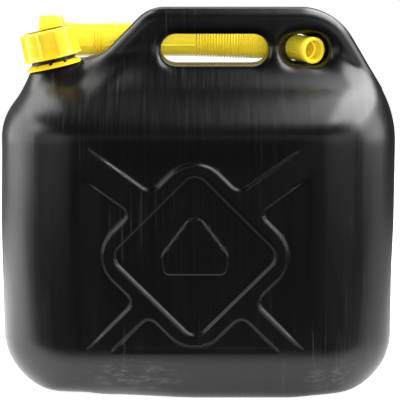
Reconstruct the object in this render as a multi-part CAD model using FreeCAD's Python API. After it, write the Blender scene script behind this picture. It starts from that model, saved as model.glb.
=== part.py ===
"""Ten-litre plastic fuel can with a screw cap and a pouring spout stored behind its handle.

Frame, in millimetres: +X along the can's width, away from the filler neck; +Y to the back, where the
spout is stored; +Z up. The origin is the centre of the base, on the surface that the can stands on.

The can is one blow-moulded hollow shell: a tank with rounded sides, a flat handle slab on top of it and
a filler neck that leans outwards. A screw cap with a sealing disc closes the neck, and a loose notched
ring sits round the neck under the cap. The spout is a flexible hose with a rigid nozzle and a union nut.
Its nozzle is pushed through the storage hole at the right end of the handle slab.
"""

import FreeCAD, Part
import math
import os

Vector = FreeCAD.Vector

# ---- driving dimensions -----------------------------------------------------------------------------

CAN_WIDTH = 320.0
CAN_DEPTH = 150.0
CAN_HEIGHT = 311.5
WALL = 2.2  # blow-moulded wall

# Tank: the shell below the handle
SIDE_RADIUS = 58.0  # rounding of the four upright edges
CREASE_Z = 46.0  # the front and back lean inwards below this height; the sides' base rounding ends here
CREASE_SLOPE = math.radians(17.0)
HEEL_RADIUS = 13.0  # rounding from the leaning front and back into the base
TANK_TOP = 258.0  # where the shoulder ends and the handle slab goes on
# Stations: height, half depth, left edge, right edge. The sides draw in first, then the front and back.
SIDES_IN = [
    (206.0, 75.0, -160.0, 160.0),
    (212.0, 75.0, -159.3, 159.6),
    (219.0, 75.0, -157.8, 158.6),
    (226.0, 75.0, -155.3, 157.1),
]
SHOULDER = [
    (226.0, 75.0, -155.3, 157.1),
    (230.0, 70.0, -153.2, 155.9),
    (235.0, 61.0, -149.9, 154.1),
    (241.0, 49.8, -145.4, 151.6),
    (247.0, 38.5, -141.3, 148.6),
    (252.0, 29.2, -138.4, 145.6),
    (TANK_TOP, 18.5, -135.6, 142.0),
]

# Handle slab, seen from the front
SLAB_HALF_DEPTH = 16.5
SLAB_EDGE_RADIUS = 9.5
SLAB_LEFT_RADIUS = 26.0
SLAB_RIGHT_RADIUS = 40.0
SLAB_TOP_LEFT = -39.7  # where the 45 degree left edge would meet the top
SLAB_TOP_RIGHT = 110.1  # where the steeper right edge would meet the top
SLAB_RIGHT_SLOPE = math.radians(59.2)
SLAB_FOOT = 226.0  # the slab's lower end, inside the tank
VALLEY_Z = 265.0  # saddle between the neck and the slab
VALLEY_X = -104.0
VALLEY_RADIUS = 12.0

# Hand hole and storage hole: centre x, centre z, length, height
HAND_HOLE = (13.2, 277.6, 86.5, 25.4)
STORE_HOLE = (85.25, 279.0, 39.5, 26.0)
HOLE_FLARE = 6.8  # rounding of the holes' rims

# Raised cross and diamond on the front and back panels
PANEL_HALF_WIDTH = 84.0
PANEL_BOTTOM = 46.0
PANEL_TOP = 214.0
PANEL_CORNER = 12.0
PANEL_CENTRE_X = -2.3
PANEL_CENTRE_Z = 120.6
PANEL_SINK = 2.0
DIAMOND_OUTER = (82.7, 26.0)  # half diagonal and corner rounding
DIAMOND_INNER = (69.0, 12.0)
# Arms of the cross, from the diamond outwards: start x and z from the centre, angle, width
UPPER_ARM = (34.3, 36.1, 36.0, 20.0)
LOWER_ARM = (35.0, -35.0, -45.0, 13.2)
ARM_LENGTH = 150.0

# Filler neck, on an axis that leans outwards by NECK_LEAN. Heights are along that axis.
NECK_SEAT = Vector(-115.9, 0, 263.4)  # centre of the shoulder face that the ring lies on
NECK_LEAN = 12.5
NECK_TOP = 26.4
NECK_RADIUS = 16.6
NECK_BORE = 14.6
NECK_FLARE_RADIUS = 32.0
NECK_FLARE_DROP = 15.0
NECK_ROOT = -34.0  # lower end of the bore, inside the tank
BEAD_RADIUS = 18.0
BEAD_BOTTOM = 4.6
BEAD_TOP = 6.6

# Neck thread, shared by the cap and the union nut
THREAD_PITCH = 5.0
THREAD_RADIUS = 18.0  # crest of the neck's thread
THREAD_START = 10.0
THREAD_TURNS = 2.0
FEMALE_ROOT = 18.4  # wall radius inside the cap and the nut
FEMALE_CREST = 17.1
FEMALE_TURNS = 1.5

# Ring round the neck
RING_BOTTOM = 0.3
RING_TOP = 4.2
RING_RIM = 1.2
RING_RADIUS = 23.0
RING_BORE = 17.0
RING_CREST = 18.9
RING_NOTCHES = 10
RING_NOTCH_WIDTH = 3.0
RING_NOTCH_DEPTH = 1.9

# Cap
CAP_BOTTOM = 7.5
CAP_TOP = 30.6
CAP_ROOF = 2.2
CAP_RADIUS = 20.6
CAP_FLANGE_RADIUS = 23.8
CAP_FLANGE = 1.5
CAP_LOBES = 5
CAP_LOBE_RADIUS = 23.3
CAP_LOBE_WIDTH = 14.0
CAP_LOBE_PHASE = 0.25  # share of a lobe's turn, so that a gap between two lobes faces the front
CAP_CHAMFER = 1.8
GASKET_GAP = 0.1
GASKET_THICKNESS = 1.8
GASKET_RADIUS = 18.1

# Spout: a rigid tube along +X behind the handle, then a ridged hose that bends towards the front
RUN_Y = 46.0
RUN_Z = 282.3
TUBE_START = -117.5
TUBE_END = -1.7
TUBE_RADIUS = 13.6
TUBE_BORE = 11.4
TUBE_FLANGE_RADIUS = 17.6
TUBE_FLANGE = 2.0
TUBE_COLLAR = (-111.4, -105.5, 14.3)  # from, to, radius
NECKLET = (-86.6, 3, 2.6)  # short ridged stretch: start, ridges, pitch
TUBE_SPIGOT = 9.0  # reduced end that the hose grips
TUBE_SPIGOT_RADIUS = 12.0
TUBE_SPIGOT_BORE = 10.4

HOSE_PITCH = 2.3
HOSE_CREST = (14.2, 11.9)  # radius at the tube and at the nozzle
HOSE_ROOT = (13.1, 11.1)
HOSE_BORE = (12.05, 9.8)
HOSE_CUFF = 5.0  # straight end of the hose, which grips the nozzle
HOSE_CUFF_RADIUS = 10.9
BEND_CORNER = Vector(58.4, 46.0, 280.0)
BEND_RADIUS = 41.0
MOUTH = Vector(93.0, -14.0, 277.5)

# The hose's centre line: straight from the tube, an arc of BEND_RADIUS, then straight to the mouth
HOSE_START = Vector(TUBE_END, RUN_Y, RUN_Z)
FIRST_WAY = (BEND_CORNER - HOSE_START).normalize()
LAST_WAY = (MOUTH - BEND_CORNER).normalize()
BEND_ANGLE = FIRST_WAY.getAngle(LAST_WAY)
BEND_REACH = BEND_RADIUS * math.tan(BEND_ANGLE / 2)
BEND_START = BEND_CORNER - FIRST_WAY * BEND_REACH
BEND_END = BEND_CORNER + LAST_WAY * BEND_REACH
TO_CENTRE = (LAST_WAY - FIRST_WAY).normalize()
BEND_CENTRE = BEND_CORNER + TO_CENTRE * (BEND_RADIUS / math.cos(BEND_ANGLE / 2))
STRAIGHT_LENGTH = (BEND_START - HOSE_START).Length
RIDGED_LENGTH = STRAIGHT_LENGTH + BEND_RADIUS * BEND_ANGLE  # the hose up to its cuff

# Nozzle
NOZZLE_RADIUS = 10.3
NOZZLE_LIP_RADIUS = 10.8
NOZZLE_LIP = 5.0
NOZZLE_MOUTH_BORE = 7.5
NOZZLE_BORE = 6.2
NOZZLE_MOUTH_DEPTH = 9.0
NOZZLE_SPIGOT_RADIUS = 9.75
NOZZLE_RIB_HEIGHT = 0.5
NOZZLE_RIB_WIDTH = 1.6
NOZZLE_RIB_ANGLE = 19.0  # the moulding ribs' angle round the tube

# Union nut
NUT_START = -131.5
NUT_END = -112.0
NUT_RADIUS = 19.7
NUT_LOBE_RADIUS = 20.5
NUT_LOBES = 12
NUT_WAIST = (-118.6, -117.0, 19.2)  # groove between the grip and the shoulder: from, to, radius
NUT_BORE = 14.5
NUT_WALL = 3.2
WASHER_THICKNESS = 1.5
WASHER_BORE = 12.5
WASHER_RADIUS = 16.4

X_AXIS = Vector(1, 0, 0)
Y_AXIS = Vector(0, 1, 0)
Z_AXIS = Vector(0, 0, 1)


# ---- small helpers ----------------------------------------------------------------------------------


def lathe(points, axis=Z_AXIS):
    """A turned solid from (radius, height) points, standing on the origin along axis."""
    closed = [Vector(r, 0, h) for r, h in points] + [Vector(points[0][0], 0, points[0][1])]
    face = Part.Face(Part.makePolygon(closed))
    solid = face.revolve(Vector(0, 0, 0), Z_AXIS, 360)
    solid.rotate(Vector(0, 0, 0), *turn_to(axis))
    return solid


def turn_to(direction):
    """The axis and angle, in degrees, that turn +Z to direction."""
    rotation = FreeCAD.Rotation(Z_AXIS, direction)
    return rotation.Axis, math.degrees(rotation.Angle)


def disc(radius, bottom, top):
    return Part.makeCylinder(radius, top - bottom, Vector(0, 0, bottom), Z_AXIS)


def ring(outer, inner, bottom, top):
    return disc(outer, bottom, top).cut(disc(inner, bottom - 1, top + 1))


def on_neck(shape):
    """Moves a shape built along +Z from the origin on to the neck's leaning axis."""
    shape.rotate(Vector(0, 0, 0), Y_AXIS, -NECK_LEAN)
    shape.translate(NECK_SEAT)
    return shape


def filleted_outline(corners):
    """A closed wire in the XZ plane from (x, z, radius) corners, each rounded by its radius."""
    count = len(corners)
    edges = []
    previous_end = None
    first_start = None
    for i, (x, z, radius) in enumerate(corners):
        corner = Vector(x, 0, z)
        before = Vector(corners[i - 1][0], 0, corners[i - 1][1])
        after = Vector(corners[(i + 1) % count][0], 0, corners[(i + 1) % count][1])
        to_before = (before - corner).normalize()
        to_after = (after - corner).normalize()
        if radius > 0:
            half = to_before.getAngle(to_after) / 2
            reach = radius / math.tan(half)
            start = corner + to_before * reach
            end = corner + to_after * reach
            middle_way = (to_before + to_after).normalize()
            middle = corner + middle_way * (radius / math.sin(half) - radius)
            arc = Part.Arc(start, middle, end).toShape()
        else:
            start, end, arc = corner, corner, None
        if previous_end is not None:
            edges.append(Part.makeLine(previous_end, start))
        else:
            first_start = start
        if arc is not None:
            edges.append(arc)
        previous_end = end
    edges.append(Part.makeLine(previous_end, first_start))
    return Part.Wire(edges)


def plate(wire, y_from, y_to):
    """An outline in the XZ plane, made solid from y_from to y_to."""
    solid = Part.Face(wire).extrude(Vector(0, y_to - y_from, 0))
    solid.translate(Vector(0, y_from, 0))
    return solid


# ---- the can ----------------------------------------------------------------------------------------


def tank_section(z, left, right, half_depth, corner):
    """A rounded rectangle at height z, as a wire of four lines and four arcs."""
    middle = corner * (1 - math.sqrt(0.5))
    lines = [
        (Vector(left + corner, -half_depth, z), Vector(right - corner, -half_depth, z)),
        (Vector(right, -half_depth + corner, z), Vector(right, half_depth - corner, z)),
        (Vector(right - corner, half_depth, z), Vector(left + corner, half_depth, z)),
        (Vector(left, half_depth - corner, z), Vector(left, -half_depth + corner, z)),
    ]
    arc_middles = [
        Vector(right - middle, -half_depth + middle, z),
        Vector(right - middle, half_depth - middle, z),
        Vector(left + middle, half_depth - middle, z),
        Vector(left + middle, -half_depth + middle, z),
    ]
    edges = []
    for i, (start, end) in enumerate(lines):
        edges.append(Part.makeLine(start, end))
        edges.append(Part.Arc(end, arc_middles[i], lines[(i + 1) % 4][0]).toShape())
    return Part.Wire(edges)


def base_half_width(z):
    """The tank's half width below the crease, where the sides round into the base."""
    rise = CREASE_Z - z
    return CAN_WIDTH / 2 - CREASE_Z + math.sqrt(CREASE_Z**2 - rise**2)


def base_half_depth(z):
    """The tank's half depth below the crease: a flat leaning stretch, then the rounded heel."""
    lean = (CREASE_Z - z) * math.tan(CREASE_SLOPE)
    drop = max(0.0, HEEL_RADIUS - z)
    heel = HEEL_RADIUS - math.sqrt(HEEL_RADIUS**2 - drop**2)
    return CAN_DEPTH / 2 - lean - heel


def tank(inset):
    """The tank without its handle and neck, made smaller on every side by inset."""
    heel = [HEEL_RADIUS * share for share in (0.0, 0.06, 0.2, 0.45, 1.0)]
    slope = [HEEL_RADIUS + (CREASE_Z - HEEL_RADIUS) * share for share in (0.0, 0.2, 0.45, 0.7, 1.0)]
    parts = []
    for heights in (heel, slope):
        stations = [(z, base_half_depth(z), -base_half_width(z), base_half_width(z)) for z in heights]
        parts.append(tank_piece(stations, inset, False))
    wall = (CAN_DEPTH / 2, -CAN_WIDTH / 2, CAN_WIDTH / 2)
    parts.append(tank_piece([(CREASE_Z, *wall), (SIDES_IN[0][0], *wall)], inset, True))
    parts.append(tank_piece(SIDES_IN, inset, False))
    parts.append(tank_piece(SHOULDER, inset, False))
    return parts[0].fuse(parts[1:])


def tank_piece(stations, inset, ruled):
    """One stretch of the tank, through rounded rectangles of (height, half depth, left, right)."""
    wires = []
    for z, depth, left, right in stations:
        squeezed = inset + (TANK_TOP - 2 * inset) * z / TANK_TOP
        corner = min(SIDE_RADIUS, 0.78 * depth) - inset
        wires.append(tank_section(squeezed, left + inset, right - inset, depth - inset, corner))
    return Part.makeLoft(wires, True, ruled)


def slab(inset):
    """The flat upright slab that the handle is part of, made smaller on every side by inset."""
    top = CAN_HEIGHT - inset
    foot = SLAB_FOOT + inset
    left_shift = inset * math.sqrt(2)
    right_shift = inset / math.sin(SLAB_RIGHT_SLOPE)

    def left_edge(z):
        return SLAB_TOP_LEFT + left_shift - (CAN_HEIGHT - z)

    def right_edge(z):
        return SLAB_TOP_RIGHT - right_shift + (CAN_HEIGHT - z) / math.tan(SLAB_RIGHT_SLOPE)

    valley = VALLEY_Z - inset
    corners = [
        (left_edge(top), top, SLAB_LEFT_RADIUS - inset),
        (right_edge(top), top, SLAB_RIGHT_RADIUS - inset),
        (right_edge(TANK_TOP - 4), TANK_TOP - 4, 0),
        (right_edge(TANK_TOP) - 12, foot, 0),
        (VALLEY_X + inset, foot, 0),
        (VALLEY_X + inset, valley, 0),
        (left_edge(valley), valley, VALLEY_RADIUS + inset),
    ]
    depth = SLAB_HALF_DEPTH - inset
    body = plate(filleted_outline(corners), -depth, depth)
    rims = [e for e in body.Edges if is_slab_rim(e, depth)]
    return body.makeFillet(SLAB_EDGE_RADIUS - inset, rims)


def is_slab_rim(edge, depth):
    """True for the slab's front and back edges that stay outside the tank."""
    box = edge.BoundBox
    flat = box.YLength < 0.01 and abs(abs(box.YMin) - depth) < 0.01
    return flat and box.ZMax > TANK_TOP - 6 and box.XMax > VALLEY_X + 4 and box.ZMin > SLAB_FOOT + 15


def hole(spec, grow):
    """The solid that cuts a long hole with flared rims through the slab, larger all round by grow."""
    x, z, length, height = spec
    radius = height / 2 + grow
    flare = HOLE_FLARE - grow
    rim = height / 2 + HOLE_FLARE
    throat = SLAB_HALF_DEPTH - HOLE_FLARE
    reach = SLAB_HALF_DEPTH + 20
    bow = flare * math.sqrt(0.5)

    def half_profile(side):
        """One side's outline in (distance from the hole's middle plane, y), front to back."""
        front_arc = Part.Arc(
            Vector(side * rim, -throat - flare, 0),
            Vector(side * (rim - bow), -throat - bow, 0),
            Vector(side * radius, -throat, 0),
        )
        back_arc = Part.Arc(
            Vector(side * radius, throat, 0),
            Vector(side * (rim - bow), throat + bow, 0),
            Vector(side * rim, throat + flare, 0),
        )
        return [
            Part.makeLine(Vector(side * rim, -reach, 0), Vector(side * rim, -throat - flare, 0)),
            front_arc.toShape(),
            Part.makeLine(Vector(side * radius, -throat, 0), Vector(side * radius, throat, 0)),
            back_arc.toShape(),
            Part.makeLine(Vector(side * rim, throat + flare, 0), Vector(side * rim, reach, 0)),
        ]

    right = half_profile(1)
    spool_edges = right + [
        Part.makeLine(Vector(rim, reach, 0), Vector(0, reach, 0)),
        Part.makeLine(Vector(0, reach, 0), Vector(0, -reach, 0)),
        Part.makeLine(Vector(0, -reach, 0), Vector(rim, -reach, 0)),
    ]
    spool = Part.Face(Part.Wire(Part.sortEdges(spool_edges)[0])).revolve(Vector(0, 0, 0), Y_AXIS, 360)
    bar_edges = right + half_profile(-1) + [
        Part.makeLine(Vector(rim, reach, 0), Vector(-rim, reach, 0)),
        Part.makeLine(Vector(-rim, -reach, 0), Vector(rim, -reach, 0)),
    ]
    bar = Part.Face(Part.Wire(Part.sortEdges(bar_edges)[0])).extrude(Vector(0, 0, length - height))
    bar.rotate(Vector(0, 0, 0), Y_AXIS, 90)
    half_run = (length - height) / 2
    left_end = spool.copy()
    left_end.translate(Vector(x - half_run, 0, z))
    right_end = spool.copy()
    right_end.translate(Vector(x + half_run, 0, z))
    bar.translate(Vector(x - half_run, 0, z))
    return left_end.fuse([right_end, bar])


def diamond(spec):
    """An upright square face standing on its corner, about the panel's centre."""
    half_diagonal, radius = spec
    corners = []
    for quarter in range(4):
        angle = math.radians(90 * quarter)
        x = PANEL_CENTRE_X + half_diagonal * math.cos(angle)
        z = PANEL_CENTRE_Z + half_diagonal * math.sin(angle)
        corners.append((x, z, radius))
    return Part.Face(filleted_outline(corners))


def cross_arm(spec, side):
    """One arm of the raised cross, as a face; side is 1 for the right arm and -1 for its mirror image."""
    x, z, angle, width = spec
    corners = [
        Vector(0, 0, -width / 2),
        Vector(ARM_LENGTH, 0, -width / 2),
        Vector(ARM_LENGTH, 0, width / 2),
        Vector(0, 0, width / 2),
    ]
    arm = Part.Face(Part.makePolygon(corners + corners[:1]))
    arm.rotate(Vector(0, 0, 0), Y_AXIS, -angle)
    arm.translate(Vector(x, 0, z))
    if side < 0:
        arm = arm.mirror(Vector(0, 0, 0), X_AXIS)
    arm.translate(Vector(PANEL_CENTRE_X, 0, PANEL_CENTRE_Z))
    return arm


def panel_frame(grow):
    """The rounded rectangle that the sunk panel fills, larger all round by grow."""
    left = PANEL_CENTRE_X - PANEL_HALF_WIDTH - grow
    right = PANEL_CENTRE_X + PANEL_HALF_WIDTH + grow
    corners = [
        (left, PANEL_BOTTOM - grow, PANEL_CORNER),
        (right, PANEL_BOTTOM - grow, PANEL_CORNER),
        (right, PANEL_TOP + grow, PANEL_CORNER),
        (left, PANEL_TOP + grow, PANEL_CORNER),
    ]
    return Part.Face(filleted_outline(corners))


def panel_pockets():
    """What the four fields round the cross and the field inside the diamond take from the front face."""
    raised = [cross_arm(spec, side) for spec in (UPPER_ARM, LOWER_ARM) for side in (1, -1)]
    raised.append(diamond(DIAMOND_OUTER))
    fields = panel_frame(0).cut(raised)
    half_depth = CAN_DEPTH / 2
    sunk = [f.extrude(Vector(0, PANEL_SINK + 5, 0)) for f in fields.Faces]
    sunk.append(diamond(DIAMOND_INNER).extrude(Vector(0, PANEL_SINK + 5, 0)))
    for solid in sunk:
        solid.translate(Vector(0, -half_depth - 5, 0))
    return sunk


def mirrored(shapes):
    """The same shapes on the other side of the can's middle plane."""
    return [s.mirror(Vector(0, 0, 0), Y_AXIS) for s in shapes]


def neck_outside():
    """The neck's flare, tube and bead, along the neck's axis, without its bore."""
    profile = [
        (0, NECK_ROOT),
        (NECK_FLARE_RADIUS, -NECK_FLARE_DROP - 10),
        (NECK_FLARE_RADIUS, -NECK_FLARE_DROP),
        (26.0, -8.6),
        (22.3, -3.0),
        (21.0, 0),
        (NECK_RADIUS, 0),
        (NECK_RADIUS, BEAD_BOTTOM),
        (BEAD_RADIUS, BEAD_BOTTOM + 0.4),
        (BEAD_RADIUS, BEAD_TOP - 0.4),
        (NECK_RADIUS, BEAD_TOP),
        (NECK_RADIUS, NECK_TOP - 0.6),
        (NECK_RADIUS - 0.6, NECK_TOP),
        (0, NECK_TOP),
    ]
    return lathe(profile)


def thread_ridge(root, crest, start, turns, root_width, crest_width):
    """A right-hand ridge wound along +Z from height start, standing from radius root to crest."""
    helix = Part.makeHelix(THREAD_PITCH, THREAD_PITCH * turns, (root + crest) / 2)
    path = Part.Wire(helix.Edges)
    section = Part.makePolygon(
        [
            Vector(root, 0, -root_width / 2),
            Vector(crest, 0, -crest_width / 2),
            Vector(crest, 0, crest_width / 2),
            Vector(root, 0, root_width / 2),
            Vector(root, 0, -root_width / 2),
        ]
    )
    ridge = path.makePipeShell([section], True, True)
    ridge.translate(Vector(0, 0, start))
    return ridge


def can_body():
    outside = tank(0).fuse([slab(0), on_neck(neck_outside())])
    outside = outside.cut([hole(HAND_HOLE, 0), hole(STORE_HOLE, 0)])
    pockets = panel_pockets()
    outside = outside.cut(pockets + mirrored(pockets))
    thread = thread_ridge(NECK_RADIUS - 0.3, THREAD_RADIUS, THREAD_START, THREAD_TURNS, 2.2, 1.0)
    outside = outside.fuse(on_neck(thread))

    inside = tank(WALL).fuse([slab(WALL), on_neck(disc(NECK_BORE, NECK_ROOT + 4, -4))])
    inside = inside.cut([hole(HAND_HOLE, WALL), hole(STORE_HOLE, WALL)])
    backing = panel_frame(WALL).extrude(Vector(0, PANEL_SINK + WALL + 5, 0))
    backing.translate(Vector(0, -CAN_DEPTH / 2 - 5, 0))
    inside = inside.cut([backing] + mirrored([backing]))
    inside = inside.fuse(on_neck(disc(NECK_BORE, NECK_ROOT + 4, NECK_TOP + 1)))
    return outside.cut(inside)


# ---- ring, cap and sealing disc on the neck ---------------------------------------------------------


def neck_ring():
    body = lathe(
        [
            (RING_BORE, RING_BOTTOM),
            (RING_RADIUS, RING_BOTTOM),
            (RING_RADIUS, RING_BOTTOM + RING_RIM),
            (RING_CREST, RING_TOP),
            (RING_BORE, RING_TOP),
        ]
    )
    notches = []
    for i in range(RING_NOTCHES):
        depth = RING_CREST - RING_BORE + 3
        notch = Part.makeBox(depth, RING_NOTCH_WIDTH, RING_NOTCH_DEPTH + 1)
        notch.translate(Vector(RING_BORE - 1, -RING_NOTCH_WIDTH / 2, RING_TOP - RING_NOTCH_DEPTH))
        notch.rotate(Vector(0, 0, 0), Z_AXIS, 360 * (i + 0.4) / RING_NOTCHES)
        notches.append(notch)
    return on_neck(body.cut(notches))


def lobes(count, root, crest, width, bottom, top, phase):
    """Rounded ribs round a +Z axis, standing from radius root to crest."""
    made = []
    for i in range(count):
        radius = width / 2
        rib = disc(radius, bottom, top)
        rib.translate(Vector(crest - radius, 0, 0))
        block = Part.makeBox(crest - root, width, top - bottom)
        block.translate(Vector(root - radius - 1, -width / 2, bottom))
        rib = rib.fuse(block)
        rib.rotate(Vector(0, 0, 0), Z_AXIS, 360 * (i + phase) / count)
        made.append(rib)
    return made


def cap_lobes():
    """The cap's broad grips: flat-sided blocks whose outer faces follow one cylinder."""
    made = []
    for i in range(CAP_LOBES):
        block = Part.makeBox(CAP_LOBE_RADIUS, CAP_LOBE_WIDTH, CAP_TOP - CAP_BOTTOM)
        block.translate(Vector(CAP_RADIUS / 2, -CAP_LOBE_WIDTH / 2, CAP_BOTTOM))
        grip = block.common(disc(CAP_LOBE_RADIUS, CAP_BOTTOM, CAP_TOP))
        grip.rotate(Vector(0, 0, 0), Z_AXIS, 360 * (i + CAP_LOBE_PHASE) / CAP_LOBES)
        made.append(grip)
    return made


def cap_shell():
    skirt_top = CAP_TOP - CAP_CHAMFER
    body = disc(CAP_RADIUS, CAP_BOTTOM, CAP_TOP)
    flange = disc(CAP_FLANGE_RADIUS, CAP_BOTTOM, CAP_BOTTOM + CAP_FLANGE)
    body = body.fuse(cap_lobes() + [flange])
    dome = lathe(
        [
            (0, CAP_BOTTOM - 1),
            (CAP_FLANGE_RADIUS + 1, CAP_BOTTOM - 1),
            (CAP_FLANGE_RADIUS + 1, CAP_BOTTOM + CAP_FLANGE),
            (CAP_LOBE_RADIUS, skirt_top),
            (CAP_LOBE_RADIUS - 1.6 * CAP_CHAMFER, CAP_TOP),
            (0, CAP_TOP),
        ]
    )
    body = body.common(dome)
    body = body.cut(disc(FEMALE_ROOT, CAP_BOTTOM - 1, CAP_TOP - CAP_ROOF))
    thread_at = THREAD_START + THREAD_PITCH / 2
    thread = thread_ridge(FEMALE_ROOT + 0.3, FEMALE_CREST, thread_at, FEMALE_TURNS, 2.0, 0.9)
    return on_neck(body.fuse(thread))


def cap_gasket():
    bottom = NECK_TOP + GASKET_GAP
    return on_neck(disc(GASKET_RADIUS, bottom, bottom + GASKET_THICKNESS))


# ---- the spout --------------------------------------------------------------------------------------


def along_run(shape, x):
    """Turns a shape built along +Z from the origin to lie along +X with its origin at x on the run."""
    shape.rotate(Vector(0, 0, 0), Y_AXIS, 90)
    shape.translate(Vector(x, RUN_Y, RUN_Z))
    return shape


def hose_station(distance):
    """The point and direction at a distance along the hose."""
    if distance <= STRAIGHT_LENGTH:
        return HOSE_START + FIRST_WAY * distance, FIRST_WAY
    if distance >= RIDGED_LENGTH:
        return BEND_END + LAST_WAY * (distance - RIDGED_LENGTH), LAST_WAY
    angle = (distance - STRAIGHT_LENGTH) / BEND_RADIUS
    rotation = FreeCAD.Rotation(FIRST_WAY.cross(LAST_WAY).normalize(), math.degrees(angle))
    return BEND_CENTRE + rotation.multVec(BEND_START - BEND_CENTRE), rotation.multVec(FIRST_WAY)


def narrowed(share, radii):
    """A radius that keeps its first value over half of the hose, then eases to its second."""
    first, second = radii
    late = min(1.0, max(0.0, (share - 0.45) / 0.55))
    return first + (second - first) * late * late * (3 - 2 * late)


def hose_solid(stations):
    """A solid of straight-sided slices through circles at (distance along the hose, radius)."""
    wires = []
    for distance, radius in stations:
        point, way = hose_station(distance)
        wires.append(Part.Wire(Part.Edge(Part.Circle(point, way, radius))))
    return Part.makeLoft(wires, True, True)


def spout_tube():
    collar_from, collar_to, collar_radius = TUBE_COLLAR
    necklet_start, necklet_count, necklet_pitch = NECKLET
    profile = [
        (TUBE_BORE, TUBE_START),
        (TUBE_FLANGE_RADIUS, TUBE_START),
        (TUBE_FLANGE_RADIUS, TUBE_START + TUBE_FLANGE),
        (TUBE_RADIUS, TUBE_START + TUBE_FLANGE),
        (TUBE_RADIUS, collar_from),
        (collar_radius, collar_from),
        (collar_radius, collar_to),
        (TUBE_RADIUS, collar_to + 0.6),
        (TUBE_RADIUS, necklet_start),
    ]
    for i in range(necklet_count):
        left = necklet_start + i * necklet_pitch
        profile += [
            (TUBE_RADIUS - 1.0, left + 0.35 * necklet_pitch),
            (TUBE_RADIUS - 0.1, left + 0.7 * necklet_pitch),
            (TUBE_RADIUS - 0.1, left + necklet_pitch),
        ]
    profile += [
        (TUBE_RADIUS, necklet_start + necklet_count * necklet_pitch + 0.6),
        (TUBE_RADIUS, TUBE_END),
        (TUBE_SPIGOT_RADIUS, TUBE_END),
        (TUBE_SPIGOT_RADIUS, TUBE_END + TUBE_SPIGOT),
        (TUBE_SPIGOT_BORE, TUBE_END + TUBE_SPIGOT),
        (TUBE_SPIGOT_BORE, TUBE_END - 2),
        (TUBE_BORE, TUBE_END - 4),
    ]
    return along_run(lathe([(r, x - TUBE_START) for r, x in profile]), TUBE_START)


def spout_hose():
    count = int(RIDGED_LENGTH / HOSE_PITCH)
    pitch = RIDGED_LENGTH / count
    outside = [(0.1, narrowed(0, HOSE_ROOT))]
    for i in range(count):
        share = (i + 0.5) / count
        outside.append(((i + 0.3) * pitch, narrowed(share, HOSE_CREST)))
        outside.append(((i + 0.6) * pitch, narrowed(share, HOSE_CREST)))
        outside.append(((i + 0.95) * pitch, narrowed(share, HOSE_ROOT)))
    outside.append((RIDGED_LENGTH + 0.6, HOSE_CUFF_RADIUS))
    outside.append((RIDGED_LENGTH + HOSE_CUFF, HOSE_CUFF_RADIUS))
    inside = [(-1.0, HOSE_BORE[0]), (TUBE_SPIGOT + 1, HOSE_BORE[0])]
    steps = 12
    for i in range(1, steps + 1):
        distance = TUBE_SPIGOT + 1 + (RIDGED_LENGTH - TUBE_SPIGOT - 1) * i / steps
        inside.append((distance, narrowed(distance / RIDGED_LENGTH, HOSE_BORE)))
    inside.append((RIDGED_LENGTH + HOSE_CUFF + 1, HOSE_BORE[1]))
    return hose_solid(outside).cut(hose_solid(inside))


def spout_nozzle():
    length = (MOUTH - BEND_END).Length
    spigot_from = 0.6
    shoulder = HOSE_CUFF + 0.05
    body = lathe(
        [
            (NOZZLE_BORE, spigot_from),
            (NOZZLE_SPIGOT_RADIUS, spigot_from),
            (NOZZLE_SPIGOT_RADIUS, shoulder),
            (NOZZLE_RADIUS, shoulder),
            (NOZZLE_RADIUS, length - NOZZLE_LIP),
            (NOZZLE_LIP_RADIUS, length - NOZZLE_LIP),
            (NOZZLE_LIP_RADIUS, length - 0.6),
            (NOZZLE_LIP_RADIUS - 0.6, length),
            (NOZZLE_MOUTH_BORE, length),
            (NOZZLE_MOUTH_BORE, length - NOZZLE_MOUTH_DEPTH),
            (NOZZLE_BORE, length - NOZZLE_MOUTH_DEPTH - 1.5),
        ]
    )
    rib_length = length - NOZZLE_LIP - shoulder - 3
    rib_sides = []
    for angle in (180 + NOZZLE_RIB_ANGLE, NOZZLE_RIB_ANGLE):
        rib = Part.makeBox(NOZZLE_RIB_HEIGHT + 0.6, NOZZLE_RIB_WIDTH, rib_length)
        rib.translate(Vector(NOZZLE_RADIUS - 0.6, -NOZZLE_RIB_WIDTH / 2, shoulder))
        rib.rotate(Vector(0, 0, 0), Z_AXIS, angle)
        rib_sides.append(rib)
    body = body.fuse(rib_sides)
    body.rotate(Vector(0, 0, 0), *turn_to(LAST_WAY))
    body.translate(BEND_END)
    return body


def spout_nut():
    length = NUT_END - NUT_START
    waist_from, waist_to, waist_radius = NUT_WAIST
    body = lathe(
        [
            (0, 0),
            (NUT_RADIUS, 0),
            (NUT_RADIUS, waist_from - NUT_START),
            (waist_radius, waist_from - NUT_START),
            (waist_radius, waist_to - NUT_START),
            (NUT_RADIUS, waist_to - NUT_START),
            (NUT_RADIUS, length - 1.2),
            (NUT_RADIUS - 1.2, length),
            (0, length),
        ]
    )
    grip = lobes(
        NUT_LOBES, NUT_RADIUS, NUT_LOBE_RADIUS, 4.0, 1.0, waist_from - NUT_START, 0.5
    )
    body = body.fuse(grip)
    body = body.cut(disc(FEMALE_ROOT, -1, length - NUT_WALL))
    body = body.cut(disc(NUT_BORE, 0, length + 1))
    thread = thread_ridge(FEMALE_ROOT + 0.3, FEMALE_CREST, 3.0, FEMALE_TURNS, 2.0, 0.9)
    return along_run(body.fuse(thread), NUT_START)


def nut_washer():
    washer = ring(WASHER_RADIUS, WASHER_BORE, 0, WASHER_THICKNESS)
    return along_run(washer, TUBE_START - WASHER_THICKNESS - 0.05)


# ---- export -----------------------------------------------------------------------------------------

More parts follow.
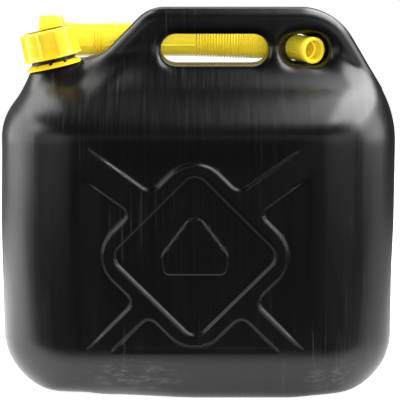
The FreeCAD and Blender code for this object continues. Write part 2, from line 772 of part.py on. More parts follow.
NODES = {
    "can_body": can_body,
    "neck_ring": neck_ring,
    "cap_shell": cap_shell,
    "cap_gasket": cap_gasket,
    "spout_tube": spout_tube,
    "spout_hose": spout_hose,
    "spout_nozzle": spout_nozzle,
    "spout_nut": spout_nut,
    "nut_washer": nut_washer,
}


def main():
    os.makedirs("parts", exist_ok=True)
    for name, build in NODES.items():
        shape = build()
        solids = shape.Solids
        litres = shape.Volume / 1e6
        print(f"{name}: {len(solids)} solid, valid {shape.isValid()}, {litres:.4f} l")
        shape.exportStep(f"parts/{name}.step")


main()
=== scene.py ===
import math

import bmesh
import bpy
import numpy as np
import openvdb
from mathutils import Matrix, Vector


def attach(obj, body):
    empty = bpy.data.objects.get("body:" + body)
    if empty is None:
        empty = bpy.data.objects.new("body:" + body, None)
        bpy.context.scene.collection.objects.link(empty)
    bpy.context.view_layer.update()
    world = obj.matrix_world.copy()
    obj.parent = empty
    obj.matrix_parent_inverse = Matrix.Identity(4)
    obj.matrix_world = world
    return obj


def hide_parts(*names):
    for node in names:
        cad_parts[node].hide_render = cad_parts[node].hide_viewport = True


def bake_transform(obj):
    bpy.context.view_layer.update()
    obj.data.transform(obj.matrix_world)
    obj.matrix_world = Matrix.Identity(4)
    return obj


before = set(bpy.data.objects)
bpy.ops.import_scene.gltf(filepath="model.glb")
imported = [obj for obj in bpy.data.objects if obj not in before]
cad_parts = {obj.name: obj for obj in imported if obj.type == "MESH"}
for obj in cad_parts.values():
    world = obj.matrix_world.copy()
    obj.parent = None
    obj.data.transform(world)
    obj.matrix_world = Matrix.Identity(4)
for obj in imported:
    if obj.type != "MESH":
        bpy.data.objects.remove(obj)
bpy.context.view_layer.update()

MM = 0.001
VOXEL = 2.0

# The can's own sizes, in millimetres, in the CAD part's frame
HALF_DEPTH = 75.0
HALF_WIDTH = 160.0
CREASE_Z = 41.5  # the front and back lean inwards below this height
CREASE_SLOPE = math.radians(19.5)
UPRIGHT_ROUNDING = 0.84  # radius of the four upright edges, as a share of half the depth at that height
SHOULDER_Z = 227.0
SHOULDER_RUN, SHOULDER_RISE = 56.5, 31
KNEE_LEFT = (222.6, 46, math.radians(37))  # height, radius and turn of the side's knee
KNEE_RIGHT = (228.3, 87, math.radians(30.8))
BASE_CORNERS = (52.0, 48.5)  # left and right
TOP_Z = 311.5
SLAB_DEPTH = 16.5  # half of the handle slab's thickness
SLAB_RIM = 9.5
SLAB_FOOT = 246.0
SLAB_SLOPE = math.radians(30.8)
PATTERN_X, PATTERN_Z = -2.3, 120.6
PANEL_DEPTH = 2.6
PAD_HEIGHT = 1.0
DIAMOND_OUTER = (82.7, 26)  # half diagonal and corner radius
DIAMOND_INNER = (69, 12)
# The hand hole and the storage hole: centre, length and height
HAND_HOLE = ((13.2, 278.0), 86.5, 24.6)
STORE_HOLE = ((85.25, 278.6), 38.3, 24.4)
HOLE_RIM = 6.9
STORE_BORE = 11.5

NECK_SEAT = np.array([-115.9, 0.0, 263.4])
NECK_LEAN = math.radians(12.5)
NECK_AXIS = np.array([-math.sin(NECK_LEAN), 0.0, math.cos(NECK_LEAN)])
NECK_SIDE = np.array([math.cos(NECK_LEAN), 0.0, math.sin(NECK_LEAN)])
ACROSS = np.array([0.0, 1.0, 0.0])
NECK_RADIUS = 16.6
NECK_BORE = 14.6
NECK_HOLE = 15.0  # the hole in the skin that the neck's tube lines
CONE_RADIUS = 17.8  # the cone that the neck stands on, at the seat
CONE_SLOPE = math.radians(22)
THREAD_START, THREAD_PITCH, THREAD_TURNS = 10, 5, 2
THREAD_HEIGHT = 1.4


# ---- fields and meshes ------------------------------------------------------------------------------


def smooth(x, low, high):
    """0 below low, 1 above high, and an S-shaped rise between them."""
    t = np.clip((x - low) / (high - low), 0.0, 1.0)
    return t * t * (3 - 2 * t)


def round_max(a, b, radius):
    """Where two solids meet in an outer edge, the edge rounded by radius."""
    u, v = np.maximum(radius + a, 0), np.maximum(radius + b, 0)
    return np.minimum(-radius, np.maximum(a, b)) + np.sqrt(u * u + v * v)


def round_min(a, b, radius):
    """Two solids joined, the corner between them filled by radius."""
    u, v = np.maximum(radius - a, 0), np.maximum(radius - b, 0)
    return np.maximum(radius, np.minimum(a, b)) - np.sqrt(u * u + v * v)


def soft_min(a, b, k):
    h = np.maximum(k - np.abs(a - b), 0.0) / k
    return np.minimum(a, b) - h * h * k / 4


def rounded_corners(corners, steps=10):
    """Points along a closed outline of (x, z, radius) corners."""
    points = []
    for i, (x, z, radius) in enumerate(corners):
        here = np.array([x, z])
        before = np.array(corners[i - 1][:2]) - here
        after = np.array(corners[(i + 1) % len(corners)][:2]) - here
        before, after = before / np.linalg.norm(before), after / np.linalg.norm(after)
        half = math.acos(np.clip(before @ after, -1, 1)) / 2
        if radius <= 0:
            points.append(here)
            continue
        middle = before + after
        middle /= np.linalg.norm(middle)
        centre = here + middle * radius / math.sin(half)
        start = here + before * radius / math.tan(half) - centre
        end = here + after * radius / math.tan(half) - centre
        for s in np.linspace(0, 1, steps):
            way = start * (1 - s) + end * s
            points.append(centre + way / np.linalg.norm(way) * radius)
    return np.array(points)


def outline_distance(px, pz, points):
    """Signed distance to a closed outline, negative inside."""
    nearest = np.full(px.shape, 1e9)
    inside = np.zeros(px.shape, bool)
    for a, b in zip(points, np.roll(points, -1, axis=0)):
        ex, ez = b - a
        if ex * ex + ez * ez < 1e-12:
            continue
        wx, wz = px - a[0], pz - a[1]
        t = np.clip((wx * ex + wz * ez) / (ex * ex + ez * ez), 0, 1)
        nearest = np.minimum(nearest, (wx - ex * t) ** 2 + (wz - ez * t) ** 2)
        if abs(ez) > 1e-9:
            crosses = ((a[1] <= pz) & (pz < b[1])) | ((b[1] <= pz) & (pz < a[1]))
            inside ^= crosses & (px < a[0] + (pz - a[1]) * ex / ez)
    return np.where(inside, -1, 1) * np.sqrt(nearest)


def knee(z, at, radius, turn):
    """How far an upright side has drawn in at height z, past a rounded knee that turns it inwards."""
    start = at - radius * math.tan(turn / 2)
    rise = z - start
    arc = radius - np.sqrt(np.maximum(radius**2 - np.clip(rise, 0, radius * math.sin(turn)) ** 2, 0))
    beyond = np.maximum(rise - radius * math.sin(turn), 0) * math.tan(turn)
    return arc + beyond


def rounded_diamond(x, z, half_diagonal, radius):
    u, v = np.abs(x + z) / math.sqrt(2), np.abs(x - z) / math.sqrt(2)
    side = half_diagonal / math.sqrt(2) - radius
    qu, qv = u - side, v - side
    return np.hypot(np.maximum(qu, 0), np.maximum(qv, 0)) + np.minimum(np.maximum(qu, qv), 0) - radius


def band(x, z, point, degrees, half_width):
    """Distance from a straight band whose middle line passes through point at a slope."""
    angle = math.radians(degrees)
    return np.abs((z - point[1]) * math.cos(angle) - (x - point[0]) * math.sin(angle)) - half_width


def panel_recess(x, z):
    """How deep the front and back panels are sunk: a cross and a diamond with a small pad stay raised."""
    x, z = x - PATTERN_X, z - PATTERN_Z
    across = np.abs(x)
    lower_arm = np.maximum(band(across, z, (0, 0), -45, 6.6), z)
    upper_arm = np.maximum(band(across, z, (70.7, 62.6), 36, 10.0), -z)
    diamond = rounded_diamond(x, z, *DIAMOND_OUTER)
    raised = round_min(round_min(diamond, lower_arm, 9.0), upper_arm, 9.0)
    bowl = rounded_diamond(x, z, *DIAMOND_INNER)
    pad_corners = [(0, 37, 9), (27, 1, 8), (24.5, -15.5, 5), (-24.5, -15.5, 5), (-27, 1, 8)]
    pad = outline_distance(x, z, rounded_corners(pad_corners, 6))
    ends = (1 - smooth(across, 66, 96)) * (1 - smooth(z, 62, 100))
    sunk = np.maximum(smooth(raised, -0.4, 2.2) * ends, smooth(-bowl, 0, 2.2))
    above_crease = smooth(z + PATTERN_Z, CREASE_Z - 1, CREASE_Z + 7)
    return PANEL_DEPTH * sunk * above_crease - PAD_HEIGHT * smooth(-pad, 0, 1.5)


def long_hole(x, z, centre, length, height):
    run = (length - height) / 2
    return np.hypot(np.maximum(np.abs(x - centre[0]) - run, 0), z - centre[1]) - height / 2


def can_sides(z):
    """The tank's left and right edges at height z: upright walls that draw in to the shoulder and the foot."""
    right = HALF_WIDTH - 0.8 - 1.3 * smooth(-z, -150, -90)
    right -= knee(z, *KNEE_RIGHT)
    left = -HALF_WIDTH + 0.2 + 0.6 * smooth(-z, -130, -70) + 1.3 * smooth(z, 140, 205)
    left += knee(z, *KNEE_LEFT)
    return left, right


def tank_field(xs, ys, zs):
    """Roughly the distance from the tank without its handle and neck, negative inside."""
    x2, z2 = np.meshgrid(xs, zs, indexing="ij")
    left, right = can_sides(z2)
    leaning = HALF_DEPTH - (CREASE_Z - z2) * math.tan(CREASE_SLOPE)
    shoulder = HALF_DEPTH - (z2 - SHOULDER_Z) * SHOULDER_RUN / SHOULDER_RISE
    depth = soft_min(soft_min(HALF_DEPTH, leaning, 3.0), shoulder, 30.0)
    corner = np.maximum(UPRIGHT_ROUNDING * depth, 2.0)[:, None, :]
    base_corner = np.where(x2 < 0, *BASE_CORNERS)
    below = np.clip(base_corner - 2 - z2, 0, base_corner)
    tuck = base_corner - np.sqrt(base_corner**2 - below**2)
    side = np.abs(x2 - (left + right) / 2) - (right - left) / 2 + tuck
    front = np.abs(ys)[None, :, None] - depth[:, None, :]
    tank = round_max(side[:, None, :], front, corner)
    slope = np.sqrt(sum(g**2 for g in np.gradient(tank, VOXEL)))
    tank = tank / np.maximum(slope, 0.5)
    heel = 13 + 11 * smooth(-x2, 0, 70) - 16 * smooth(-x2, 85, 125) - 7 * smooth(x2, 90, 125)
    return round_max(tank, np.broadcast_to(-z2[:, None, :], tank.shape), heel[:, None, :])


def slab_outline():
    """The handle slab from the front: a 45 degree left edge, a level top and a steeper right edge."""
    run = (TOP_Z - SLAB_FOOT) * math.tan(SLAB_SLOPE)
    return rounded_corners([
        (-39.7, TOP_Z, 30), (110.1, TOP_Z, 48), (110.1 + run, SLAB_FOOT, 0),
        (120, 200, 0), (-130, 200, 0), (-120.2, 231, 0),
    ])


def storage_opening(xs, ys, zs):
    """The storage hole: a long pocket in the front that narrows to a slanting bore round the nozzle."""
    x2, z2 = np.meshgrid(xs, zs, indexing="ij")
    pocket = np.maximum(long_hole(x2, z2, *STORE_HOLE)[:, None, :], ys[None, :, None] + 1.0)
    x3, y3, z3 = np.meshgrid(xs - MOUTH[0], ys - MOUTH[1], zs - MOUTH[2], indexing="ij")
    along = x3 * LAST_WAY[0] + y3 * LAST_WAY[1] + z3 * LAST_WAY[2]
    bore = np.sqrt(np.maximum(x3**2 + y3**2 + z3**2 - along**2, 0)) - STORE_BORE
    return round_min(pocket, bore, 3.0)


def can_field(xs, ys, zs):
    """Roughly the distance from the can's outer surface over a grid, negative inside."""
    tank = tank_field(xs, ys, zs)
    x2, z2 = np.meshgrid(xs, zs, indexing="ij")
    slab_flat = outline_distance(x2, z2, slab_outline())
    slab = round_max(slab_flat[:, None, :], np.abs(ys)[None, :, None] - SLAB_DEPTH, SLAB_RIM)
    fillet = 18.0 - 17.0 * smooth(x2, -95, -35) + 20.0 * smooth(-slab_flat, 0, 22)
    can = round_min(tank, slab, fillet[:, None, :])

    x3 = xs[:, None, None] - NECK_SEAT[0]
    y3 = ys[None, :, None]
    z3 = zs[None, None, :] - NECK_SEAT[2]
    along = x3 * NECK_AXIS[0] + z3 * NECK_AXIS[2]
    out = np.sqrt((x3 * NECK_SIDE[0] + z3 * NECK_SIDE[2]) ** 2 + y3**2)
    cone = (out - CONE_RADIUS + along * math.tan(CONE_SLOPE)) * math.cos(CONE_SLOPE)
    cone = round_max(round_max(cone, -along - 20, 8.0), along + 0.2, 1.5)
    can = round_min(can, cone, 11.0)
    can = np.maximum(can, -np.maximum(out - NECK_HOLE, -along - 30))

    opening = long_hole(x2, z2, *HAND_HOLE)[:, None, :]
    can = round_max(can, -np.broadcast_to(opening, can.shape), HOLE_RIM)
    return round_max(can, -storage_opening(xs, ys, zs), HOLE_RIM)


def new_object(name, points, faces, smooth_angle=35):
    mesh = bpy.data.meshes.new(name)
    mesh.from_pydata([tuple(p) for p in points], [], [tuple(f) for f in faces])
    mesh.shade_smooth()
    if smooth_angle < 180:
        mesh.set_sharp_from_angle(angle=math.radians(smooth_angle))
    mesh.validate()
    obj = bpy.data.objects.new(name, mesh)
    bpy.context.scene.collection.objects.link(obj)
    return obj


def ring_faces(rings, count, first=0, closed=True):
    faces = []
    for i in range(rings - 1):
        for j in range(count if closed else count - 1):
            k = (j + 1) % count
            a, b = first + i * count, first + (i + 1) * count
            faces.append((a + j, a + k, b + k, b + j))
    return faces


def turned(name, origin, axis, side, across, profile, angles, radius_of, smooth_angle=35):
    """A solid of revolution along axis from (radius, height) points, which radius_of shapes at each angle."""
    points = []
    for radius, height in profile:
        radii = radius_of(radius, height, angles)
        spread = radii[:, None] * (np.cos(angles)[:, None] * side + np.sin(angles)[:, None] * across)
        points.append(origin + axis * height + spread)
    points = np.concatenate(points) * MM
    return new_object(name, points, ring_faces(len(profile), len(angles)), smooth_angle)


def even(count):
    return np.linspace(0, 2 * math.pi, count, endpoint=False)


# ---- the can ----------------------------------------------------------------------------------------


def pattern_edge(x, z):
    """True near the places where the panels step in or out."""
    step = 1.2
    around = [panel_recess(x + step * i, z + step * j) for i, j in ((0, 0), (1, 0), (-1, 0), (0, 1), (0, -1))]
    return np.ptp(around, axis=0) > 0.25


def press_panels(can):
    """Presses the cross and diamond into the front and back, with a finer mesh along their edges."""
    mesh = bmesh.new()
    mesh.from_mesh(can.data)
    for _ in range(2):
        middles = np.array([(e.verts[0].co + e.verts[1].co) / 2 for e in mesh.edges]) / MM
        x, y, z = middles.T
        flat = (np.abs(y) > 68) & (np.abs(x - PATTERN_X) < 100) & (z > 34) & (z < 232)
        chosen = np.zeros(len(middles), bool)
        chosen[flat] = pattern_edge(x[flat], z[flat])
        chosen |= flat & (np.abs(z - CREASE_Z) < 5)
        mesh.edges.ensure_lookup_table()
        edges = [mesh.edges[int(i)] for i in np.nonzero(chosen)[0]]
        bmesh.ops.subdivide_edges(mesh, edges=edges, cuts=1, use_grid_fill=True)
    mesh.to_mesh(can.data)
    mesh.free()
    points = np.empty(len(can.data.vertices) * 3)
    can.data.vertices.foreach_get("co", points)
    points = points.reshape(-1, 3)
    x, y, z = points.T / MM
    limit = HALF_DEPTH - panel_recess(x, z)
    inside = (np.abs(x - PATTERN_X) < 110) & (z > 30)
    y = np.where(inside & (np.abs(y) > limit), np.sign(y) * limit, y)
    points[:, 1] = y * MM
    can.data.vertices.foreach_set("co", points.ravel())
    can.data.shade_smooth()


def build_can():
    xs = np.arange(-163.5, 163.6, VOXEL)
    ys = np.arange(-78.0, 78.1, VOXEL)
    zs = np.arange(-3.0, 315.1, VOXEL)
    field = can_field(xs, ys, zs)
    reach = 3 * VOXEL
    grid = openvdb.FloatGrid(reach)
    grid.copyFromArray(np.clip(field, -reach, reach).astype(np.float32))
    points, quads = grid.convertToQuads()
    points = np.array(points, float) * VOXEL + np.array([xs[0], ys[0], zs[0]])
    points[:, 2] = np.maximum(points[:, 2], 0)
    can = new_object("can_skin", points * MM, quads[:, ::-1], 180)
    press_panels(can)
    return can


def neck_profile(radius, height, angles):
    """The neck's wall, with its thread, a rounded ridge. Radii under 16 belong to the lip and the bore."""
    if radius < 16:
        return np.full(len(angles), radius)
    share = (angles / (2 * math.pi)) % 1.0
    rise = np.zeros(len(angles))
    for turn in range(THREAD_TURNS):
        wound = turn + share
        ridge = 1 - smooth(np.abs(height - (THREAD_START + THREAD_PITCH * wound)), 0.45, 1.2)
        ends = smooth(wound, 0, 0.08) * (1 - smooth(wound, THREAD_TURNS - 0.08, THREAD_TURNS))
        rise = np.maximum(rise, THREAD_HEIGHT * ridge * ends)
    return radius + rise


def build_neck():
    heights = list(np.arange(7.0, 25.5, 0.4))
    profile = [(NECK_RADIUS, -3.0), (NECK_RADIUS, 4.6), (18.0, 5.0), (18.0, 6.2), (NECK_RADIUS, 6.6)]
    profile += [(NECK_RADIUS, h) for h in heights]
    profile += [(NECK_RADIUS, 25.8), (16.0, 26.4), (15.0, 26.4)]
    profile += [(NECK_BORE, 26.0), (NECK_BORE, -26.0), (0.02, -26.0)]
    return turned("neck_tube", NECK_SEAT, NECK_AXIS, NECK_SIDE, ACROSS, profile, even(120), neck_profile)


# ---- cap and ring -----------------------------------------------------------------------------------

LOBES = 5
LOBE_PHASE = math.radians(18)
LOBE_ROOT, LOBE_HEIGHT = 20.0, 3.2
GRIP_RADIUS = 23.5  # the grip's radius in the profile, before the lobes shape it


def cap_radius(radius, height, angles):
    """The cap's grip: broad lobes with flat fronts. Radii under 19 and the skirt below 9.1 stay round."""
    if radius < 19 or height < 9.1:
        return np.full(len(angles), radius)
    turn = 2 * math.pi / LOBES
    off = np.abs((angles - LOBE_PHASE + turn / 2) % turn - turn / 2)
    lobe = 1 - smooth(off, math.radians(15.5), math.radians(19.0))
    inset = GRIP_RADIUS - radius
    return np.maximum(LOBE_ROOT + LOBE_HEIGHT * lobe - inset - 0.018 * (height - 9), 0.1)


def build_cap():
    profile = [(0.02, 28.4), (18.4, 28.4), (18.4, 8.3), (18.8, 7.5), (23.4, 7.5), (23.8, 7.9), (23.8, 8.7)]
    profile += [(GRIP_RADIUS, height) for height in (9.0, 9.3, 12.0, 18.0, 24.0, 27.8)]
    for step in range(1, 8):
        angle = math.pi / 2 * step / 7
        profile.append((GRIP_RADIUS - 2.4 * (1 - math.cos(angle)), 27.8 + 2.2 * math.sin(angle)))
    profile += [(20.0, 30.25), (19.0, 30.45)]
    return turned("cap", NECK_SEAT, NECK_AXIS, NECK_SIDE, ACROSS, profile, even(240), cap_radius, 50)


# ---- the spout --------------------------------------------------------------------------------------

RUN = np.array([0.0, 46.0, 282.3])
RIDGED_START = np.array([-1.7, 46.0, 282.3])
BEND_CORNER = np.array([58.4, 46.0, 280.0])
MOUTH = np.array([93.0, -14.0, 277.5])
BEND_RADIUS = 41.0
HOSE_PITCH = 2.3
TUBE_RADIUS, TUBE_BORE = 13.6, 11.4
NOZZLE_RADIUS = 10.3
SEAM = math.radians(-19)  # the moulding seam's angle round the tube and the nozzle


def unit(v):
    return v / np.linalg.norm(v)


FIRST_WAY = unit(BEND_CORNER - RIDGED_START)
LAST_WAY = unit(MOUTH - BEND_CORNER)
TURN = math.acos(FIRST_WAY @ LAST_WAY)
REACH = BEND_RADIUS * math.tan(TURN / 2)
BEND_START = BEND_CORNER - FIRST_WAY * REACH
BEND_END = BEND_CORNER + LAST_WAY * REACH
BEND_CENTRE = BEND_CORNER + unit(LAST_WAY - FIRST_WAY) * BEND_RADIUS / math.cos(TURN / 2)
STRAIGHT = np.linalg.norm(BEND_START - RIDGED_START)
RIDGED = STRAIGHT + BEND_RADIUS * TURN
BEND_NORMAL = unit(np.cross(FIRST_WAY, LAST_WAY))


def hose_station(distance):
    """The point and direction at a distance along the hose."""
    if distance <= STRAIGHT:
        return RIDGED_START + FIRST_WAY * distance, FIRST_WAY
    angle = (distance - STRAIGHT) / BEND_RADIUS
    if angle >= TURN:
        return BEND_END + LAST_WAY * (distance - RIDGED), LAST_WAY
    out = unit(BEND_START - BEND_CENTRE)
    point = BEND_CENTRE + BEND_RADIUS * (out * math.cos(angle) + FIRST_WAY * math.sin(angle))
    return point, FIRST_WAY * math.cos(angle) - out * math.sin(angle)


def seam_angles(count):
    """Evenly spaced angles, closer together at the moulding seam on each side."""
    steps = np.radians([-5, -3.2, -2, 0, 2, 3.2, 5])
    extra = [SEAM + side + step for side in (0, math.pi) for step in steps]
    angles = np.concatenate([even(count), extra]) % (2 * math.pi)
    return np.unique(np.round(angles, 4))


def seam_rise(angles, height):
    """How far the moulding seam stands out at each angle."""
    rise = np.zeros(len(angles))
    for side in (0, math.pi):
        off = np.abs((angles - SEAM - side + math.pi) % (2 * math.pi) - math.pi)
        rise = np.maximum(rise, height * (1 - smooth(off, math.radians(2.0), math.radians(4.5))))
    return rise


def build_tube():
    """The spout's rigid inlet, along +X. Angles run from -Y, the front, towards +Z."""
    def shaped(radius, x, angles):
        if radius < 13 or x < -104.5 or (-88 < x < -77):
            return np.full(len(angles), radius)
        return radius + seam_rise(angles, 0.55)

    profile = [(TUBE_BORE, -117.5), (17.3, -117.5), (17.6, -117.2)]
    profile += [(17.6, -115.8), (17.3, -115.5), (13.8, -115.5)]
    profile += [(TUBE_RADIUS, -115.2), (TUBE_RADIUS, -111.6), (14.3, -111.2), (14.3, -106.0)]
    profile += [(TUBE_RADIUS, x) for x in (-105.2, -104.0, -88.0, -86.8)]
    for i in range(3):
        left = -86.6 + 2.6 * i
        profile += [(12.5, left + 0.8), (12.5, left + 1.1)]
        profile += [(TUBE_RADIUS, left + 1.9), (TUBE_RADIUS, left + 2.5)]
    profile += [(TUBE_RADIUS, x) for x in (-78.0, -76.0, -60.0, -40.0, -20.0, -2.2)]
    profile += [(13.2, -1.7), (10.4, -1.7), (10.4, -5.0), (TUBE_BORE, -8.0), (TUBE_BORE, -117.5)]
    along, front, up = np.array([1.0, 0, 0]), np.array([0, -1.0, 0]), np.array([0, 0, 1.0])
    return turned("tube", RUN, along, front, up, profile, seam_angles(72), shaped)


def narrowed(share, first, second):
    """A radius of the hose, which stays at first and then narrows to second over its later half."""
    return first + (second - first) * smooth(share, 0.45, 1.0)


def build_hose():
    """The ridged hose, straight at first and then bent towards the nozzle."""
    count = int(RIDGED / HOSE_PITCH)
    pitch = RIDGED / count
    stations = [(0.0, 12.4), (0.3, narrowed(0, 13.1, 11.1))]
    for i in range(count):
        share = (i + 0.5) / count
        crest, root = narrowed(share, 14.2, 11.9), narrowed(share, 13.0, 11.0)
        for at, high in ((0.12, 0.0), (0.27, 0.75), (0.4, 1.0), (0.55, 1.0), (0.7, 0.75), (0.88, 0.0)):
            stations.append(((i + at) * pitch, root + (crest - root) * high))
    stations += [(RIDGED + 0.8, 10.9), (RIDGED + 4.5, 10.9), (RIDGED + 5.0, 10.6), (RIDGED + 5.0, 9.9)]
    angles = even(72)
    points = []
    for distance, radius in stations:
        point, way = hose_station(distance)
        side = np.cross(BEND_NORMAL, way)
        points.append(point + radius * (np.cos(angles)[:, None] * side + np.sin(angles)[:, None] * BEND_NORMAL))
    return new_object("hose", np.concatenate(points) * MM, ring_faces(len(stations), len(angles)), 60)


def build_nozzle():
    length = np.linalg.norm(MOUTH - BEND_END)
    front = unit(np.array([0, -1.0, 0]) - LAST_WAY * -LAST_WAY[1])
    side = np.cross(LAST_WAY, front)

    def shaped(radius, height, angles):
        if radius < 9.9 or height > length - 5.3 or height < 5.5:
            return np.full(len(angles), radius)
        ends = smooth(height, 5.5, 8) * (1 - smooth(height, length - 16, length - 11))
        return radius + seam_rise(angles, 0.6) * ends

    profile = [(9.75, 1.0), (9.75, 5.05), (10.0, 5.1)]
    profile += [(NOZZLE_RADIUS, at) for at in (5.5, 6.5, 8.0, 15.0)]
    profile += [(NOZZLE_RADIUS, length - back) for back in (16, 13.5, 11, 5.4)]
    profile += [(10.8, length - 4.8)]
    profile += [(10.85, length - 1.0), (10.5, length - 0.3), (9.9, length), (8.3, length), (7.6, length - 0.5)]
    profile += [(7.5, length - 9), (6.2, length - 9.4), (6.2, 1.0), (9.75, 1.0)]
    return turned("nozzle", BEND_END, LAST_WAY, front, -side, profile, seam_angles(72), shaped)


# ---- materials --------------------------------------------------------------------------------------


class Nodes:
    """A short way to write a node material."""

    def __init__(self, name):
        self.material = bpy.data.materials.new(name)
        self.material.use_nodes = True
        self.tree = self.material.node_tree
        self.tree.nodes.clear()
        self.out = self.tree.nodes.new("ShaderNodeOutputMaterial")
        self.shader = self.tree.nodes.new("ShaderNodeBsdfPrincipled")
        self.tree.links.new(self.shader.outputs[0], self.out.inputs[0])
        self.coords = self.tree.nodes.new("ShaderNodeTexCoord")

    def link(self, a, b):
        self.tree.links.new(a, b)

    def node(self, kind, **values):
        n = self.tree.nodes.new(kind)
        for key, value in values.items():
            setattr(n, key, value)
        return n

    def noise(self, scale, stretch=(1, 1, 1), detail=3.0, roughness=0.55):
        mapping = self.node("ShaderNodeMapping")
        mapping.inputs["Scale"].default_value = stretch
        self.link(self.coords.outputs["Object"], mapping.inputs["Vector"])
        n = self.node("ShaderNodeTexNoise")
        n.inputs["Scale"].default_value = scale
        n.inputs["Detail"].default_value = detail
        n.inputs["Roughness"].default_value = roughness
        self.link(mapping.outputs[0], n.inputs["Vector"])
        return n.outputs["Fac"]

    def ramp(self, value, low, high, to_low, to_high):
        n = self.node("ShaderNodeMapRange")
        n.inputs["From Min"].default_value = low
        n.inputs["From Max"].default_value = high
        n.inputs["To Min"].default_value = to_low
        n.inputs["To Max"].default_value = to_high
        self.link(value, n.inputs["Value"])
        return n.outputs["Result"]

    def blend(self, share, first, second):
        n = self.node("ShaderNodeMix", data_type="RGBA")
        self.link(share, n.inputs["Factor"])
        n.inputs["A"].default_value = (*first, 1)
        n.inputs["B"].default_value = (*second, 1)
        return n.outputs["Result"]

    def times(self, first, second):
        n = self.node("ShaderNodeMath", operation="MULTIPLY")
        self.link(first, n.inputs[0])
        self.link(second, n.inputs[1])
        return n.outputs[0]

    def larger(self, first, second):
        n = self.node("ShaderNodeMath", operation="MAXIMUM")
        self.link(first, n.inputs[0])
        self.link(second, n.inputs[1])
        return n.outputs[0]

    def near(self, place, reach):
        """1 at a place on the object, falling to 0 at a distance of reach along each axis."""
        mapping = self.node("ShaderNodeMapping")
        mapping.inputs["Location"].default_value = [-p / r for p, r in zip(place, reach)]
        mapping.inputs["Scale"].default_value = [1 / r for r in reach]
        self.link(self.coords.outputs["Object"], mapping.inputs["Vector"])
        n = self.node("ShaderNodeTexGradient", gradient_type="SPHERICAL")
        self.link(mapping.outputs[0], n.inputs["Vector"])
        return self.ramp(n.outputs["Fac"], 0.0, 0.6, 0, 1)

    def bump(self, height, strength, distance, before=None):
        n = self.node("ShaderNodeBump")
        n.inputs["Strength"].default_value = strength
        n.inputs["Distance"].default_value = distance
        self.link(height, n.inputs["Height"])
        if before is not None:
            self.link(before, n.inputs["Normal"])
        return n.outputs["Normal"]

    def to(self, socket, value):
        self.link(value, self.shader.inputs[socket])


UPRIGHT_STREAKS = (1, 0.05, 0.02)  # stretches a noise into fine upright lines
# Where the foot of the can is scuffed, and how far each patch reaches, in metres
SCUFFS = (
    ((-0.052, -0.07, 0.022), (0.05, 0.03, 0.020)),
    ((0.106, -0.06, 0.024), (0.028, 0.04, 0.020)),
)


def black_plastic():
    """Satin black polyethylene with fine upright scratches in places and two scuffed patches."""
    m = Nodes("black_plastic")
    lines = m.ramp(m.noise(700, UPRIGHT_STREAKS, 2.0), 0.60, 0.78, 0, 1)
    scratched = m.times(lines, m.ramp(m.noise(13), 0.50, 0.66, 0, 1))
    for place, reach in SCUFFS:
        rubbed = m.times(m.near(place, reach), m.ramp(m.noise(260, (0.35, 1, 1), 4.0, 0.7), 0.50, 0.62, 0, 1))
        scratched = m.larger(scratched, rubbed)
    m.to("Base Color", m.blend(scratched, (0.0016, 0.0016, 0.0017), (0.035, 0.035, 0.036)))
    m.to("Roughness", m.ramp(m.noise(500, UPRIGHT_STREAKS, 2.0), 0.4, 0.75, 0.28, 0.35))
    fine = m.bump(m.noise(900, detail=1.0), 0.04, 0.0002)
    scratches = m.bump(m.noise(420, (1, 0.04, 0.012), 2.0), 0.06, 0.0003, fine)
    m.to("Normal", scratches)
    m.shader.inputs["IOR"].default_value = 1.52
    return m.material


def yellow_plastic(name, deep, light):
    m = Nodes(name)
    m.to("Base Color", m.blend(m.ramp(m.noise(60), 0.3, 0.7, 0, 1), deep, light))
    m.to("Roughness", m.ramp(m.noise(300), 0.3, 0.7, 0.26, 0.36))
    m.to("Normal", m.bump(m.noise(700, detail=1.0), 0.06, 0.0002))
    m.shader.inputs["Subsurface Weight"].default_value = 0.12
    m.shader.inputs["Subsurface Radius"].default_value = (0.004, 0.003, 0.0006)
    m.shader.inputs["Subsurface Scale"].default_value = 1.0
    return m.material


def dark_rubber():
    m = Nodes("dark_rubber")
    m.to("Base Color", m.blend(m.noise(90), (0.015, 0.015, 0.015), (0.028, 0.028, 0.028)))
    m.to("Roughness", m.ramp(m.noise(300), 0.3, 0.7, 0.6, 0.8))
    return m.material


def painted_glow_stage():
    """White to the camera. To everything else it is painted light: a glow on the can that is brightest close by
    and dim far out in front, and near-black painted shade elsewhere.
    """
    m = Nodes("painted_glow_stage")
    m.shader.inputs["Roughness"].default_value = 0.9
    place = m.node("ShaderNodeSeparateXYZ")
    m.link(m.coords.outputs["Object"], place.inputs[0])
    seen = m.node("ShaderNodeLightPath").outputs["Is Camera Ray"]
    near = m.ramp(place.outputs["Y"], -0.15, -0.10, 0.0, 1.0)
    behind = m.ramp(place.outputs["Y"], 0.15, 0.6, 1.0, 0.15)
    close_by = m.times(near, behind)
    # Painted light: the floor glows though it is no lamp. It is brightest close by the can and towards its
    # left, so the can's foot shows it as a reflection.
    thrown = m.times(close_by, m.ramp(place.outputs["X"], -0.3, 0.5, 1.1, 0.20))
    glow = m.node("ShaderNodeMix", data_type="FLOAT")
    m.link(seen, glow.inputs["Factor"])
    m.link(thrown, glow.inputs["A"])
    glow.inputs["B"].default_value = 0.80
    m.shader.inputs["Emission Color"].default_value = (1, 1, 1, 1)
    m.to("Emission Strength", glow.outputs["Result"])
    # Painted shade: away from its glow the floor is near-black to everything but the camera.
    m.to("Base Color", m.blend(m.larger(seen, thrown), (0.004, 0.004, 0.004), (0.88, 0.88, 0.88)))
    return m.material


def paint(obj, material):
    obj.data.materials.clear()
    obj.data.materials.append(material)


# ---- assembly ---------------------------------------------------------------------------------------

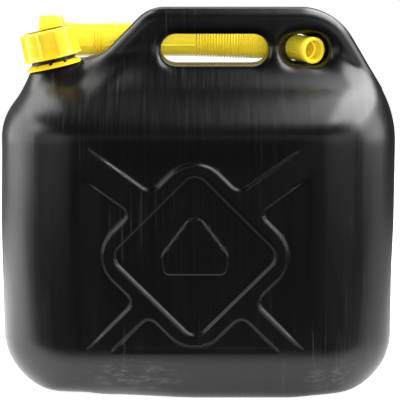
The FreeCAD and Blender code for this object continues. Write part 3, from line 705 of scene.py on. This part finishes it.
BLACK = black_plastic()
YELLOW = yellow_plastic("yellow_cap", (0.82, 0.59, 0.010), (0.88, 0.66, 0.020))
SPOUT_YELLOW = yellow_plastic("yellow_spout", (0.90, 0.69, 0.030), (0.95, 0.76, 0.050))
RUBBER = dark_rubber()

can = build_can()
paint(can, BLACK)
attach(can, "can")
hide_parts("can_body")

neck = build_neck()
paint(neck, BLACK)
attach(neck, "can")

cap = build_cap()
paint(cap, YELLOW)
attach(cap, "cap")
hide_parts("cap_shell")

tube = build_tube()
paint(tube, SPOUT_YELLOW)
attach(tube, "spout")
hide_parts("spout_tube")

hose = build_hose()
paint(hose, SPOUT_YELLOW)
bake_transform(hose)
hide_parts("spout_hose")

nozzle = build_nozzle()
paint(nozzle, SPOUT_YELLOW)
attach(nozzle, "nozzle")
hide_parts("spout_nozzle")

for node, material in (
    ("neck_ring", YELLOW), ("cap_gasket", RUBBER), ("spout_nut", SPOUT_YELLOW), ("nut_washer", RUBBER)
):
    paint(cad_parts[node], material)


# ---- studio -----------------------------------------------------------------------------------------


def build_stage():
    """A pale floor that curves up behind the can into a backdrop."""
    curve_start, curve = 2.2, 0.8
    line = [(-4.0, 0.0), (-1.0, 0.0), (0.0, 0.0), (1.0, 0.0), (curve_start, 0.0)]
    for step in range(1, 13):
        angle = math.pi / 2 * step / 12
        line.append((curve_start + curve * math.sin(angle), curve - curve * math.cos(angle)))
    line.append((3.0, 3.5))
    points = [(x, y, z) for y, z in line for x in (-4.0, 4.0)]
    return new_object("stage", points, ring_faces(len(line), 2, closed=False), 180)


stage = build_stage()
paint(stage, painted_glow_stage())


def softbox(name, place, target, size, power):
    """A rectangular lamp at place, facing target."""
    lamp = bpy.data.lights.new(name, "AREA")
    lamp.shape = "RECTANGLE"
    lamp.size, lamp.size_y = size
    lamp.energy = power
    obj = bpy.data.objects.new(name, lamp)
    obj.location = place
    obj.rotation_euler = (Vector(target) - Vector(place)).to_track_quat("-Z", "Y").to_euler()
    bpy.context.scene.collection.objects.link(obj)
    return obj


softbox("left_wall", (-1.1, 0.10, 0.62), (0.0, 0.10, 0.62), (1.1, 1.1), 14.0)
softbox("right_wall", (1.1, -0.06, 0.68), (0.0, -0.06, 0.68), (0.8, 1.1), 10.5)
softbox("left_fill", (-0.85, -1.20, 0.45), (0, 0, 0.15), (1.1, 0.9), 3.0)
softbox("right_fill", (0.80, -1.20, 0.45), (0, 0, 0.15), (1.2, 0.9), 3.6)
softbox("left_high", (-0.95, -0.35, 0.85), (0, 0, 0.15), (0.5, 0.4), 0.9)
softbox("right_high", (0.95, -0.35, 0.85), (0, 0, 0.15), (0.5, 0.4), 1.4)
softbox("top_right", (0.60, 0.15, 0.95), (0.60, 0.10, 0.0), (0.83, 1.0), 22.0)
softbox("top_left", (-0.62, 0.35, 0.95), (-0.62, 0.30, 0.0), (0.7, 0.6), 5.5)
softbox("back_top", (0.25, 1.0, 0.95), (0, 0, 0.3), (1.2, 0.4), 3.0)
front = softbox("front", (0.1, -1.6, 0.45), (0.0, 0.0, 0.25), (0.5, 0.3), 18.0)
front.visible_glossy = False

# White behind the can, but almost no light from it
world = bpy.data.worlds.new("world")
bpy.context.scene.world = world
world.use_nodes = True
background = world.node_tree.nodes["Background"]
background.inputs["Color"].default_value = (1, 1, 1, 1)
path = world.node_tree.nodes.new("ShaderNodeLightPath")
strength = world.node_tree.nodes.new("ShaderNodeMapRange")
strength.inputs["To Min"].default_value = 0.02
strength.inputs["To Max"].default_value = 1.0
world.node_tree.links.new(path.outputs["Is Camera Ray"], strength.inputs["Value"])
world.node_tree.links.new(strength.outputs["Result"], background.inputs["Strength"])

bpy.context.scene.view_settings.view_transform = "Standard"

camera_data = bpy.data.cameras.new("camera")
camera_data.lens = 164.1
camera_data.sensor_width = 36.0
camera_data.clip_end = 50
camera = bpy.data.objects.new("camera", camera_data)
target = Vector((0.0016, 0.0, 0.1534))
elevation = math.radians(9.0)
distance = 1.5
camera.location = target + distance * Vector((0, -math.cos(elevation), math.sin(elevation)))
camera.rotation_euler = (target - camera.location).to_track_quat("-Z", "Y").to_euler()
bpy.context.scene.collection.objects.link(camera)
bpy.context.scene.camera = camera
